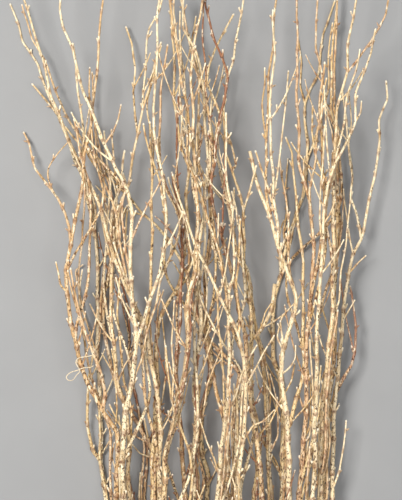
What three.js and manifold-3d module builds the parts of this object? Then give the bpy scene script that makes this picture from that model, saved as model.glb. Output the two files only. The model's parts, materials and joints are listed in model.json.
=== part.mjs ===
// A sheaf of dry birch twigs, tied low down with twine and lying on its side.
//
// Millimetres, +Z up. The stems run along +Y: their cut ends are at -Y and their tips fan out at +Y.
// The origin is on the surface that the sheaf lies on, in the middle of its footprint.
// Every stem and every main fork is a closed, tapered, six-sided tube whose rings lie across Y.

import * as THREE from "three";
import { mergeVertices } from "three/addons/utils/BufferGeometryUtils.js";
import Module from "manifold-3d";

// ---- driving dimensions -------------------------------------------------------------------------

const BUTT_RADIUS = 4.7; // a stem of girth 1 at its cut end
const TIP_RADIUS = 1.15; // any twig at its tip
const FORK_SHARE = 0.8; // a fork's radius at its root, as a share of its stem's radius there
const GREATEST_GIRTH = 1.1;
const SIDES = 6;
const FLAT = Math.cos(Math.PI / SIDES); // from a ring's middle to the middle of a side, for radius 1

const TIE_Y = -405; // the middle of the binding
const BUTT_Y = -515; // where the stems are cut, give or take BUTT_RAGGED
const BUTT_RAGGED = 16;
const BUTT_SPLAY = 1.2; // how much wider the sheaf is at the cut ends than under the binding
const STRAIGHT = 4; // how far the stems run on straight past each edge of the binding
const SAG = 1.5; // how fast a stem's rise from the binding flattens towards its tip; 1 is a straight line

const LOW_FORK = 40; // a fork whose tip is no higher than this sags to LOW_FORK_SHARE of its height
const LOW_FORK_SHARE = 0.35;
const HIGH_FORK_SHARE = 0.86; // a higher one sags to this share of its height, less HIGH_FORK_DROP
const HIGH_FORK_DROP = 20;
const LOWEST_TIP = 2; // of any fork, after it has sagged

const TWINE = 3; // thickness of one turn
const TURNS = 6;
const KNOT = new THREE.Vector3(7, 5.5, 4.5); // half sizes of the knot
const KNOT_RISE = 0.4; // of the knot's half height, from the band's top face up to its middle

const NEARLY_STRAIGHT = 1.3; // a bend no further than this off the line through its neighbours is left out
const LONGEST_RUN = 110; // a longer stretch than this keeps its furthest bend, however slight

const GAP = 0.45; // air between neighbouring twigs
const FORK_GAP = 0.3; // air between a fork and its stem, and between the binding and the stems

// ---- the stems ----------------------------------------------------------------------------------

// y is counted from the line where the sheaf has opened to its full spread, and x from its middle.
// bends: where the stem changes direction above that line. tip: how high its end lies, and for a fork
// how high it would be before it sags. end: the radius there, if the twig is broken off thick.
// A fork leaves its stem at the stem's bend of that number, and has bends of its own from there.
const PALE = "pale_bark";
const TAN = "tan_bark";
const RUSSET = "russet_bark";

const STEMS = [
  {
    bark: PALE, girth: 0.95, tip: 0,
    bends: [[-112, 0], [-118, 44], [-118, 110], [-122, 170], [-121, 235], [-123, 310], [-129, 352],
      [-136, 382], [-150, 408], [-160, 442], [-171, 466], [-182, 488], [-195, 527], [-214, 555],
      [-218, 577], [-228, 599]],
    forks: [
      { at: 1, bark: TAN, tip: 60, bends: [[-128, 55], [-133, 85], [-134, 112], [-131, 145], [-125, 178]] },
      { at: 10, bark: PALE, tip: 45, bends: [[-182, 481], [-199, 500]] },
    ],
  },
  {
    bark: TAN, girth: 1.05, tip: 72,
    bends: [[-98, 0], [-95, 45], [-95, 82], [-113, 108], [-131, 141], [-142, 175], [-150, 212],
      [-156, 250], [-156, 278], [-151, 306], [-144, 345], [-136, 382], [-134, 415], [-126, 450],
      [-122, 492], [-117, 535], [-115, 580], [-108, 624]],
    forks: [
      { at: 9, bark: PALE, tip: 20, bends: [[-153, 326], [-158, 344], [-166, 360], [-179, 377],
        [-196, 398], [-202, 417], [-205, 429], [-211, 442]] },
      { at: 3, bark: PALE, tip: 108, bends: [[-109, 128], [-114, 150], [-122, 174], [-131, 198],
        [-140, 223], [-144, 248], [-150, 276]] },
    ],
  },
  {
    bark: PALE, girth: 1.1, tip: 92,
    bends: [[-88, 0], [-89, 50], [-86, 100], [-79, 135], [-74, 165], [-72, 190], [-76, 228],
      [-79, 270], [-78, 310], [-77, 345], [-81, 368], [-88, 384], [-97, 397], [-109, 425],
      [-123, 457], [-134, 486], [-147, 537], [-158, 564], [-162, 584], [-160, 622]],
    forks: [
      { at: 5, bark: PALE, tip: 140, bends: [[-66, 208], [-60, 230], [-51, 251], [-43, 277],
        [-38, 305], [-36, 345], [-40, 382], [-46, 410], [-51, 440], [-52, 466], [-48, 502],
        [-46, 545], [-46, 582], [-43, 612]] },
    ],
  },
  {
    bark: PALE, girth: 0.85, tip: 40,
    bends: [[-82, 0], [-84, 35], [-82, 72], [-85, 104], [-96, 140], [-100, 180], [-104, 225],
      [-104, 262], [-99, 296], [-96, 335], [-91, 360], [-83, 379], [-78, 405], [-72, 440],
      [-65, 470], [-58, 500], [-51, 522], [-44, 548]],
    forks: [
      { at: 13, bark: TAN, tip: 30, bends: [[-74, 464], [-78, 492], [-75, 520], [-79, 551], [-86, 570]] },
      { at: 14, bark: PALE, tip: 96, bends: [[-62, 500], [-61, 530], [-60, 548], [-57, 566],
        [-47, 583], [-40, 606]] },
    ],
  },
  {
    bark: RUSSET, girth: 0.75, tip: 0,
    bends: [[-65, 0], [-61, 35], [-62, 62], [-67, 84], [-72, 110], [-80, 140], [-85, 172],
      [-83, 200], [-84, 230], [-92, 255], [-99, 268]],
    forks: [],
  },
  {
    bark: TAN, girth: 0.95, tip: 26,
    bends: [[-54, 0], [-54, 45], [-50, 95], [-48, 140], [-50, 188], [-47, 211], [-40, 228],
      [-29, 244], [-21, 260], [-17, 290], [-11, 325], [-13, 365], [-10, 400], [-20, 426],
      [-25, 452], [-28, 482], [-29, 508], [-28, 542], [-32, 574], [-34, 608]],
    forks: [
      { at: 13, bark: PALE, tip: 86, bends: [[-14, 447], [-12, 472], [-15, 500], [-17, 520],
        [-22, 538], [-26, 560], [-28, 584], [-27, 606]] },
    ],
  },
  {
    bark: PALE, girth: 0.9, tip: 10,
    bends: [[-50, 0], [-49, 38], [-57, 61], [-70, 82], [-82, 101], [-95, 125], [-104, 152],
      [-110, 182], [-115, 214], [-116, 240], [-109, 264], [-105, 290], [-102, 325], [-103, 355],
      [-107, 380], [-114, 398], [-119, 420], [-124, 446]],
    forks: [
      { at: 9, bark: TAN, tip: 58, bends: [[-111, 256], [-100, 288], [-97, 320], [-88, 344], [-85, 352]] },
    ],
  },
  {
    bark: PALE, girth: 1.05, tip: 56,
    bends: [[-45, 0], [-46, 45], [-44, 80], [-46, 115], [-51, 150], [-56, 180], [-62, 207],
      [-73, 229], [-87, 259], [-99, 290], [-105, 312], [-112, 336], [-119, 358], [-130, 384],
      [-141, 402], [-151, 425], [-163, 452], [-174, 482], [-184, 525], [-192, 550], [-199, 571],
      [-208, 602], [-210, 618]],
    forks: [
      { at: 6, bark: TAN, tip: 104, bends: [[-57, 232], [-56, 268], [-54, 300], [-55, 345],
        [-54, 390], [-55, 425], [-56, 450]] },
    ],
  },
  {
    bark: PALE, girth: 1.1, tip: 100,
    bends: [[-39, 0], [-38, 55], [-33, 78], [-25, 99], [-19, 125], [-13, 155], [-10, 180],
      [-11, 220], [-9, 252], [-2, 276], [0, 305], [1, 345], [-1, 385], [-4, 415], [-4, 460],
      [-7, 495], [-5, 535], [-2, 552], [4, 575], [6, 600], [8, 616]],
    forks: [
      { at: 13, bark: TAN, tip: 142, bends: [[-9, 440], [-12, 470], [-18, 500], [-22, 530],
        [-28, 560], [-32, 590], [-30, 618]] },
    ],
  },
  {
    bark: RUSSET, girth: 1.0, tip: 46,
    bends: [[-15, 0], [-16, 30], [-19, 80], [-23, 115], [-26, 150], [-23, 185], [-20, 225],
      [-19, 265], [-18, 300], [-20, 338], [-25, 366], [-30, 391]],
    forks: [
      { at: 9, bark: RUSSET, tip: 112, bends: [[-24, 385], [-25, 420], [-24, 455], [-22, 482]] },
    ],
  },
  {
    bark: TAN, girth: 0.7, tip: 74,
    bends: [[-9, 0], [-5, 32], [-9, 58], [-16, 80], [-24, 101], [-31, 122], [-33, 150], [-37, 184]],
    forks: [],
  },
  {
    bark: PALE, girth: 1.05, tip: 70,
    bends: [[-2, 0], [-4, 40], [-1, 80], [-1, 108], [-4, 135], [-2, 160], [3, 190], [5, 215],
      [3, 245], [1, 280], [3, 310], [8, 340], [10, 375], [13, 400], [12, 430], [8, 460], [8, 490],
      [5, 516], [-1, 535], [-9, 549], [-16, 564], [-17, 592], [-15, 618]],
    forks: [
      { at: 12, bark: TAN, tip: 120, bends: [[2, 400], [2, 430], [1, 460], [2, 486]] },
    ],
  },
  {
    bark: TAN, girth: 0.95, tip: 0,
    bends: [[12, 0], [13, 28], [7, 48], [4, 76], [7, 106], [13, 132], [20, 156], [16, 182],
      [8, 205], [4, 232], [-8, 262], [-20, 288], [-35, 312], [-51, 331], [-69, 347], [-84, 368],
      [-98, 384], [-114, 399], [-134, 419], [-150, 436], [-160, 449]],
    forks: [],
  },
  {
    bark: PALE, girth: 1.05, tip: 106,
    bends: [[24, 0], [26, 30], [28, 55], [32, 80], [35, 104], [37, 130], [38, 160], [37, 195],
      [36, 225], [37, 248], [34, 268], [29, 290], [20, 316], [11, 341], [4, 364], [-2, 387],
      [-10, 405], [-8, 434]],
    forks: [
      { at: 9, bark: PALE, tip: 150, bends: [[44, 272], [43, 305], [42, 342], [36, 372],
        [34, 402], [33, 436], [34, 458]] },
    ],
  },
  {
    bark: TAN, girth: 1.0, tip: 42,
    bends: [[36, 0], [38, 45], [36, 82], [30, 104], [24, 125], [20, 150], [13, 172], [11, 195],
      [9, 230], [9, 262], [14, 292], [19, 320], [16, 352], [14, 384], [17, 412], [12, 436],
      [4, 450]],
    forks: [],
  },
  {
    bark: PALE, girth: 1.05, tip: 116,
    bends: [[50, 0], [50, 40], [54, 75], [57, 105], [57, 140], [55, 172], [49, 200], [39, 222],
      [28, 245], [18, 265], [7, 288], [-2, 306], [-12, 334], [-20, 357], [-28, 386]],
    forks: [
      { at: 6, bark: TAN, tip: 132, bends: [[50, 226], [46, 262], [50, 300], [51, 334]] },
    ],
  },
  {
    bark: TAN, girth: 0.8, tip: 30,
    bends: [[43, 0], [46, 45], [43, 85], [46, 118], [51, 150], [42, 163], [28, 177], [16, 190],
      [4, 207], [-5, 232], [-12, 262], [-9, 296], [-14, 326], [-26, 352], [-38, 378], [-44, 400],
      [-46, 440], [-44, 480], [-43, 505], [-38, 528], [-36, 546]],
    forks: [],
  },
  {
    bark: TAN, girth: 1.0, tip: 60,
    bends: [[69, 0], [73, 40], [72, 75], [67, 110], [65, 150], [66, 190], [65, 225], [58, 262],
      [56, 290], [57, 320], [56, 348], [48, 374], [42, 396], [33, 418], [32, 450], [32, 482]],
    forks: [
      { at: 10, bark: PALE, tip: 104, bends: [[60, 366], [65, 382], [70, 398]] },
      { at: 12, bark: PALE, tip: 60, bends: [[48, 402], [44, 420], [37, 440]] },
    ],
  },
  {
    bark: RUSSET, girth: 1.05, tip: 86,
    bends: [[77, 0], [76, 40], [70, 80], [64, 118], [60, 160], [57, 200], [49, 235], [44, 262],
      [37, 290], [28, 318], [20, 345], [16, 376], [20, 408], [23, 432], [27, 460], [33, 479],
      [37, 507], [29, 527], [22, 546], [14, 570], [9, 589], [12, 618]],
    forks: [
      { at: 16, bark: PALE, tip: 100, bends: [[43, 526], [47, 550], [51, 577], [57, 610]] },
      { at: 14, bark: TAN, tip: 72, bends: [[20, 478], [12, 499], [14, 520], [21, 539], [28, 551],
        [36, 568], [43, 582]] },
    ],
  },
  {
    bark: PALE, girth: 1.0, tip: 40,
    bends: [[88, 0], [87, 50], [86, 90], [84, 120], [80, 150], [78, 178], [72, 198], [69, 225],
      [65, 252], [61, 276], [52, 292], [45, 310], [42, 338], [37, 365], [30, 389], [24, 412],
      [19, 436], [13, 459], [9, 483], [3, 505], [-3, 525], [-7, 548], [-14, 580], [-22, 612]],
    forks: [
      { at: 6, bark: PALE, tip: 66, end: 2.6, bends: [[82, 210], [90, 229], [91, 245], [94, 259]] },
    ],
  },
  {
    bark: TAN, girth: 1.05, tip: 0,
    bends: [[104, 0], [105, 50], [105, 100], [101, 145], [93, 168], [92, 205], [95, 243],
      [102, 272], [109, 300], [114, 322], [121, 345], [130, 367], [134, 395], [135, 428],
      [132, 455], [132, 478], [138, 497], [149, 517], [152, 545], [154, 564], [161, 582],
      [168, 603]],
    forks: [
      { at: 7, bark: PALE, tip: 24, bends: [[100, 292], [106, 310], [114, 326]] },
    ],
  },
  {
    bark: PALE, girth: 1.1, tip: 62, end: 1.9,
    bends: [[111, 0], [110, 50], [109, 85], [104, 115], [101, 150], [102, 180], [109, 205],
      [118, 228], [119, 243], [111, 265], [104, 286], [97, 305], [89, 332], [81, 358], [70, 386],
      [67, 401], [63, 418]],
    forks: [
      { at: 2, bark: TAN, tip: 62, bends: [[118, 112], [125, 140], [129, 168], [127, 200],
        [128, 240], [128, 285], [125, 315], [120, 350], [116, 395], [115, 418], [108, 434]] },
      { at: 11, bark: PALE, tip: 116, bends: [[96, 330], [92, 358], [91, 390], [88, 430],
        [86, 465], [89, 500], [92, 530], [90, 560], [90, 582]] },
      { at: 12, bark: TAN, tip: 92, bends: [[84, 356], [82, 390], [83, 430], [85, 470], [86, 510],
        [91, 545], [92, 580], [96, 614]] },
    ],
  },
  {
    bark: TAN, girth: 1.0, tip: 78,
    bends: [[123, 0], [126, 35], [127, 68], [131, 105], [132, 140], [130, 175], [132, 210],
      [135, 240], [138, 270], [139, 300], [138, 330], [135, 356], [129, 378], [122, 400],
      [121, 425], [121, 452], [118, 487], [119, 520], [120, 550], [118, 576], [120, 612]],
    forks: [
      { at: 9, bark: PALE, tip: 126, bends: [[136, 336], [133, 372], [141, 405], [142, 440],
        [149, 468]] },
    ],
  },
  {
    bark: PALE, girth: 0.95, tip: 94,
    bends: [[137, 0], [138, 35], [141, 62], [139, 92], [142, 122], [141, 150], [141, 180],
      [142, 210], [145, 240], [147, 270], [148, 300], [149, 330], [152, 355], [154, 377],
      [163, 402], [172, 417], [181, 436], [187, 451], [187, 485], [196, 509], [206, 534],
      [210, 558]],
    forks: [
      { at: 13, bark: TAN, tip: 96, bends: [[147, 392], [142, 407], [139, 424], [136, 442],
        [138, 470]] },
    ],
  },
  {
    bark: PALE, girth: 1.1, tip: 80,
    bends: [[148, 0], [147, 40], [148, 80], [152, 115], [154, 150], [158, 185], [161, 215],
      [162, 250], [162, 280], [163, 310], [162, 345], [163, 385], [164, 430], [166, 465],
      [172, 490], [178, 512], [179, 545], [182, 565], [187, 586], [192, 614]],
    forks: [
      { at: 15, bark: PALE, tip: 134, bends: [[191, 526], [205, 545], [214, 563], [222, 577],
        [226, 598]] },
    ],
  },
  {
    bark: TAN, girth: 0.95, tip: 20,
    bends: [[155, 0], [155, 45], [156, 85], [160, 120], [165, 150], [168, 180], [167, 215],
      [167, 245], [168, 272], [168, 300], [170, 330], [170, 370], [170, 410], [168, 445],
      [163, 470], [163, 500], [165, 525], [165, 560], [170, 590], [173, 618]],
    forks: [
      { at: 13, bark: PALE, tip: 74, bends: [[157, 470], [152, 500], [150, 520], [143, 543],
        [145, 572], [145, 600]] },
    ],
  },
  {
    bark: PALE, girth: 1.0, tip: 30,
    bends: [[163, 0], [164, 45], [165, 90], [168, 128], [171, 155], [173, 185], [176, 215],
      [179, 245], [183, 272], [189, 294], [199, 314], [202, 335], [206, 353], [212, 381],
      [219, 412], [221, 430], [220, 457], [231, 483], [229, 502]],
    forks: [
      { at: 3, bark: RUSSET, tip: 50, bends: [[179, 146], [187, 161], [191, 182], [193, 207],
        [190, 230], [186, 254]] },
      { at: 10, bark: PALE, tip: 92, bends: [[195, 330], [192, 346], [185, 364], [187, 386],
        [185, 402], [181, 432], [178, 460], [174, 488]] },
    ],
  },
];

// ---- paths --------------------------------------------------------------------------------------

const lerp = THREE.MathUtils.lerp;

// How far a point stands off the line from one point to another.
function offLine([x, y], [x0, y0], [x1, y1]) {
  return Math.abs((x1 - x0) * (y - y0) - (y1 - y0) * (x - x0)) / Math.hypot(x1 - x0, y1 - y0);
}

// The numbers of the bends that shape a course: its ends, those in `kept`, and any that stand off the line.
function shapingBends(bends, kept = []) {
  const shaping = new Set([0, bends.length - 1, ...kept]);
  const divide = (from, to) => {
    let furthest = -1;
    let most = 0;
    for (let i = from + 1; i < to; i++) {
      const off = offLine(bends[i], bends[from], bends[to]);
      if (off > most) {
        most = off;
        furthest = i;
      }
    }
    const long = bends[to][1] - bends[from][1] > LONGEST_RUN;
    if (most > NEARLY_STRAIGHT || (long && furthest > 0)) {
      shaping.add(furthest);
      divide(from, furthest);
      divide(furthest, to);
    }
  };
  const ends = [...shaping].sort((a, b) => a - b);
  ends.slice(1).forEach((to, i) => divide(ends[i], to));
  return shaping;
}

// Where a fork's tip comes to lie: low forks sag nearly to the surface, and high ones drop but stay up.
function sagged(tip) {
  const height = tip > LOW_FORK ? HIGH_FORK_SHARE * tip - HIGH_FORK_DROP : LOW_FORK_SHARE * tip;
  return Math.max(LOWEST_TIP, Math.round(height));
}

// A stem with only the bends that shape it and its forks, and the forks' places counted among those.
function simplified(stem) {
  const shaping = shapingBends(stem.bends, stem.forks.map((fork) => fork.at));
  const forks = stem.forks.map((fork) => {
    const course = [stem.bends[fork.at], ...fork.bends];
    const kept = shapingBends(course);
    return {
      ...fork,
      at: [...shaping].filter((i) => i < fork.at).length,
      tip: sagged(fork.tip),
      bends: course.filter((_, i) => kept.has(i)).slice(1),
    };
  });
  return { ...stem, bends: stem.bends.filter((_, i) => shaping.has(i)), forks };
}

// Places for the stems under the binding, in five rows that nest, from the left column to the right.
const SLOT_PITCH = 2 * BUTT_RADIUS * GREATEST_GIRTH + GAP;
const SLOT_ROWS = [5, 6, 5, 6, 5];
const ROW_RISE = SLOT_PITCH * Math.sin(Math.PI / 3);
const HALF_HEIGHT = ((SLOT_ROWS.length - 1) / 2) * ROW_RISE;
const BIND_INSIDE = SLOT_PITCH / 2 + FORK_GAP; // from a slot's middle to the binding's inner face
const SHEAF_Z = HALF_HEIGHT + BIND_INSIDE + TWINE; // the sheaf's middle over the surface

function slots() {
  const found = SLOT_ROWS.flatMap((count, row) =>
    Array.from({ length: count }, (_, i) => ({
      x: (i - (count - 1) / 2) * SLOT_PITCH,
      z: SHEAF_Z - HALF_HEIGHT + row * ROW_RISE,
    })),
  );
  return found.sort((a, b) => a.x - b.x || a.z - b.z);
}

// Stems go into the slots by where they stand across the spread, and within a column by height.
function seatStems(stems) {
  const places = slots();
  const order = [...stems].sort((a, b) => a.bends[0][0] - b.bends[0][0]);
  const seats = new Map();
  for (let first = 0; first < order.length; ) {
    const column = places.filter((p) => Math.abs(p.x - places[first].x) < SLOT_PITCH / 4);
    const members = order.slice(first, first + column.length).sort((a, b) => a.tip - b.tip);
    members.forEach((stem, i) => seats.set(stem, column[i]));
    first += column.length;
  }
  return seats;
}

// Repeatable scatter from -1 to 1, for the ragged cut ends.
const scatter = (i) => 2 * THREE.MathUtils.euclideanModulo(Math.sin(i * 12.9898) * 43758.5453, 1) - 1;

// Stations of a stem: cut end, both sides of the binding, the opening curve, then its bends.
const BIND_HALF = (TWINE * TURNS) / 2;
const OPENING_STEPS = 4;
const HELD = 3; // the stations up to the binding's upper edge, which the binding holds in place

function stemStations(stem, index, seat) {
  const [first, second] = stem.bends;
  const slope = (second[0] - first[0]) / (second[1] - first[1]);
  const start = TIE_Y + BIND_HALF + STRAIGHT;
  const span = first[1] - start;
  const stations = [
    {
      x: seat.x * BUTT_SPLAY,
      y: BUTT_Y + BUTT_RAGGED * scatter(index + 1),
      z: SHEAF_Z + (seat.z - SHEAF_Z) * BUTT_SPLAY,
    },
    { x: seat.x, y: TIE_Y - BIND_HALF - STRAIGHT, z: seat.z },
    { x: seat.x, y: start, z: seat.z },
  ];
  // A cubic that leaves the binding straight and meets the first bend's slope.
  for (let i = 1; i < OPENING_STEPS; i++) {
    const t = i / OPENING_STEPS;
    const blend = t * t * (3 - 2 * t);
    const x = lerp(seat.x, first[0], blend) + span * slope * t * t * (t - 1);
    stations.push({ x, y: start + t * span });
  }
  stem.bends.forEach(([x, y]) => stations.push({ x, y }));
  const end = stations.at(-1).y;
  for (const s of stations.slice(HELD)) {
    const t = (s.y - start) / (end - start);
    s.z = lerp(seat.z, stem.tip, 1 - (1 - t) ** SAG);
  }
  const foot = stations[0].y;
  stations.forEach((s) => {
    s.radius = lerp(BUTT_RADIUS * stem.girth, stem.end ?? TIP_RADIUS, (s.y - foot) / (end - foot));
  });
  return stations;
}

// Stations of a fork, from the station of its stem that it leaves.
function forkStations(fork, root) {
  const end = fork.bends.at(-1)[1];
  return [[root.x, root.y], ...fork.bends].map(([x, y]) => {
    const t = (y - root.y) / (end - root.y);
    const radius = lerp(root.radius * FORK_SHARE, fork.end ?? TIP_RADIUS, t);
    return { x, y, z: lerp(root.z, fork.tip, t), radius };
  });
}

// ---- laying the twigs on each other ----------------------------------------------------------------

const SLICE = 3; // spacing of the cross-sections that are compared
const ROUNDS = 900;
const EASE = 0.08; // how strongly kinks are straightened in the first round
const EASE_ROUNDS = ROUNDS / 1.6; // the straightening fades to nothing over these rounds
const LEAST_GRIP = 0.02; // a contact that moves its stations less than this is left alone

// Where a cross-section at y meets a twig: the stations either side, and the share of the way between.
function sectionOf(twig, y) {
  const s = twig.stations;
  if (y < s[0].y || y > s.at(-1).y) return null;
  let i = 0;
  while (i < s.length - 2 && s[i + 1].y < y) {
    i++;
  }
  const t = (y - s[i].y) / (s[i + 1].y - s[i].y);
  return { twig, i, t, x: lerp(s[i].x, s[i + 1].x, t), r: lerp(s[i].radius, s[i + 1].radius, t) };
}

const heightAt = (c) => lerp(c.twig.stations[c.i].z, c.twig.stations[c.i + 1].z, c.t);

// Every cross-section where two twigs are close enough sideways to touch. A run of such sections is
// one crossing, and the twig that is higher on the whole stays on top all through it.
function findContacts(twigs) {
  const contacts = [];
  const low = Math.min(...twigs.map((t) => t.stations[0].y));
  const high = Math.max(...twigs.map((t) => t.stations.at(-1).y));
  twigs.forEach((a, ia) =>
    twigs.slice(ia + 1).forEach((b) => {
      let run = [];
      const close = () => {
        const lean = run.reduce((sum, c) => sum + heightAt(c.a) - heightAt(c.b), 0);
        const joined = (b.parent === a || a.parent === b) && run[0]?.atRoot;
        if (!joined) {
          run.forEach((c) => contacts.push({ ...c, side: lean < 0 ? -1 : 1 }));
        }
        run = [];
      };
      for (let y = low; y <= high; y += SLICE) {
        const ca = sectionOf(a, y);
        const cb = sectionOf(b, y);
        const reach = ca && cb ? ca.r + cb.r + GAP : 0;
        if (ca && cb && Math.abs(ca.x - cb.x) < reach) {
          const younger = b.parent === a ? b : a;
          run.push({
            a: ca,
            b: cb,
            need: Math.sqrt(reach ** 2 - (ca.x - cb.x) ** 2),
            atRoot: y - younger.stations[0].y < 2 * SLICE,
          });
        } else if (run.length) {
          close();
        }
      }
      if (run.length) {
        close();
      }
    }),
  );
  return contacts;
}

// Lifts and lowers the stations until no two twigs touch and none is under the surface.
function settle(twigs) {
  const contacts = findContacts(twigs);
  for (let round = 0; round < ROUNDS; round++) {
    const ease = EASE * Math.max(0, 1 - round / EASE_ROUNDS);
    for (const { stations, fixed } of twigs) {
      for (let i = fixed; i < stations.length - 1; i++) {
        const [p, s, n] = [stations[i - 1], stations[i], stations[i + 1]];
        s.z += ease * (lerp(p.z, n.z, (s.y - p.y) / (n.y - p.y)) - s.z);
      }
    }
    for (const c of contacts) {
      const short = c.need - c.side * (heightAt(c.a) - heightAt(c.b));
      if (short <= 0) continue;
      const pulls = [
        [c.a.twig, c.a.i, (1 - c.a.t) * c.side],
        [c.a.twig, c.a.i + 1, c.a.t * c.side],
        [c.b.twig, c.b.i, (c.b.t - 1) * c.side],
        [c.b.twig, c.b.i + 1, -c.b.t * c.side],
      ].filter(([twig, i]) => i >= twig.fixed);
      const total = pulls.reduce((sum, [, , w]) => sum + w * w, 0);
      if (total < LEAST_GRIP) continue;
      for (const [twig, i, w] of pulls) {
        twig.stations[i].z += (short * w) / total;
      }
    }
    for (const twig of twigs) {
      for (const s of twig.stations) {
        s.z = Math.max(s.z, s.radius * FLAT);
      }
      if (twig.parent) {
        twig.stations[0].z = twig.root.z;
      }
    }
  }
}

// ---- solids -------------------------------------------------------------------------------------

const CORNER_SEGMENTS = 3; // in each round corner of the binding
const KNOT_SEGMENTS = [10, 6]; // round the knot, and from top to bottom

const wasm = await Module();
wasm.setup();

// A closed cylinder whose rings are moved to the stations.
function tube(stations, extra = 0) {
  const spans = stations.length - 1;
  const geometry = new THREE.CylinderGeometry(1, 1, spans, SIDES, spans, false, Math.PI / SIDES);
  const at = geometry.getAttribute("position");
  for (let i = 0; i < at.count; i++) {
    const s = stations[Math.round(at.getY(i) + spans / 2)];
    const r = s.radius + extra;
    at.setXYZ(i, s.x + at.getX(i) * r, s.y, s.z + at.getZ(i) * r);
  }
  return geometry;
}

function toSolid(geometry) {
  geometry.deleteAttribute("normal");
  geometry.deleteAttribute("uv");
  const merged = mergeVertices(geometry);
  const mesh = new wasm.Mesh({
    numProp: 3,
    vertProperties: merged.getAttribute("position").array,
    triVerts: new Uint32Array(merged.index.array),
  });
  return new wasm.Manifold(mesh);
}

function toGeometry(solid) {
  const mesh = solid.getMesh();
  return new THREE.BufferGeometry()
    .setAttribute("position", new THREE.BufferAttribute(mesh.vertProperties, 3))
    .setIndex(new THREE.BufferAttribute(mesh.triVerts, 1));
}

// A fork's root is cut to the side of its stem, and what is left past the cut is kept.
function forkGeometry(fork) {
  const cut = toSolid(tube(fork.stations)).subtract(toSolid(tube(fork.parent.stations, FORK_GAP)));
  const pieces = cut.decompose().sort((a, b) => b.volume() - a.volume());
  return toGeometry(pieces[0]);
}

// The sheaf's outline under the binding, offset outwards, with a round corner at each outer stem.
// A corner is the middle of its stem's slot, and the angles where its arc begins and ends.
function outline(target, offset) {
  const half = (count) => ((count - 1) / 2) * SLOT_PITCH;
  const corners = [
    [half(SLOT_ROWS[0]), -HALF_HEIGHT, -90, -30],
    [half(SLOT_ROWS[1]), -HALF_HEIGHT + ROW_RISE, -30, 0],
    [half(SLOT_ROWS[3]), HALF_HEIGHT - ROW_RISE, 0, 30],
    [half(SLOT_ROWS[4]), HALF_HEIGHT, 30, 90],
    [-half(SLOT_ROWS[4]), HALF_HEIGHT, 90, 150],
    [-half(SLOT_ROWS[3]), HALF_HEIGHT - ROW_RISE, 150, 180],
    [-half(SLOT_ROWS[1]), -HALF_HEIGHT + ROW_RISE, 180, 210],
    [-half(SLOT_ROWS[0]), -HALF_HEIGHT, 210, 270],
  ];
  for (const [x, z, from, to] of corners) {
    target.absarc(x, z, offset, THREE.MathUtils.degToRad(from), THREE.MathUtils.degToRad(to));
  }
  return target;
}

// Turns of twine wound side by side round the sheaf, and the knot on top, as one band.
function bindingGeometry() {
  const shape = outline(new THREE.Shape(), BIND_INSIDE + TWINE);
  shape.holes.push(outline(new THREE.Path(), BIND_INSIDE));
  const wound = { depth: 2 * BIND_HALF, bevelEnabled: false, curveSegments: CORNER_SEGMENTS };
  const band = new THREE.ExtrudeGeometry(shape, wound)
    .rotateX(Math.PI / 2)
    .translate(0, TIE_Y + BIND_HALF, SHEAF_Z);
  const bandTop = SHEAF_Z + HALF_HEIGHT + BIND_INSIDE + TWINE;
  const knot = new THREE.SphereGeometry(1, ...KNOT_SEGMENTS)
    .scale(KNOT.x, KNOT.y, KNOT.z)
    .translate(0, TIE_Y, bandTop + KNOT_RISE * KNOT.z);
  return toGeometry(toSolid(band).add(toSolid(knot)));
}

// ---- the object ---------------------------------------------------------------------------------

const BARK = {
  [PALE]: new THREE.MeshStandardMaterial({ color: 0xe2c893, roughness: 0.7 }),
  [TAN]: new THREE.MeshStandardMaterial({ color: 0xc9a468, roughness: 0.75 }),
  [RUSSET]: new THREE.MeshStandardMaterial({ color: 0x94643f, roughness: 0.75 }),
};
const JUTE = new THREE.MeshStandardMaterial({ color: 0xb08d5b, roughness: 0.95 });

// Every stem and fork, with its name, bark, stations and how many of those stay where they are.
function growTwigs() {
  const stems = STEMS.map(simplified);
  const seats = seatStems(stems);
  return stems.flatMap((stem, index) => {
    const name = `stem_${String(index + 1).padStart(2, "0")}`;
    const trunk = {
      name,
      bark: stem.bark,
      stations: stemStations(stem, index, seats.get(stem)),
      fixed: HELD,
    };
    const forks = stem.forks.map((fork, i) => {
      const root = trunk.stations[trunk.stations.length - stem.bends.length + fork.at];
      return {
        name: `${name}_fork_${"abc"[i]}`,
        bark: fork.bark,
        parent: trunk,
        root,
        stations: forkStations(fork, root),
        fixed: 1,
      };
    });
    return [trunk, ...forks];
  });
}

const twigs = growTwigs();
settle(twigs);

const bundle = new THREE.Group();
for (const twig of twigs) {
  const mesh = new THREE.Mesh(twig.parent ? forkGeometry(twig) : tube(twig.stations), BARK[twig.bark]);
  mesh.name = twig.name;
  bundle.add(mesh);
}
const binding = new THREE.Mesh(bindingGeometry(), JUTE);
binding.name = "twine_binding";
bundle.add(binding);

// The origin goes to the middle of the footprint, on the surface.
const box = new THREE.Box3().setFromObject(bundle);
const middle = box.getCenter(new THREE.Vector3());
bundle.position.set(-middle.x, -middle.y, -box.min.z);

export default bundle;
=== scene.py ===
"""A sheaf of dry birch twigs, tied low down with twine and lying on its side, seen from above.

Metres, +Z up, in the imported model's frame. Each stem and fork is drawn along the middle of its CAD tube.
Knots, buds, spurs and side twigs grow out of it, in the same mesh as the twig that carries them.
"""

import json
import math
import random

import bpy
import numpy as np
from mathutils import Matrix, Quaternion, Vector


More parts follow.
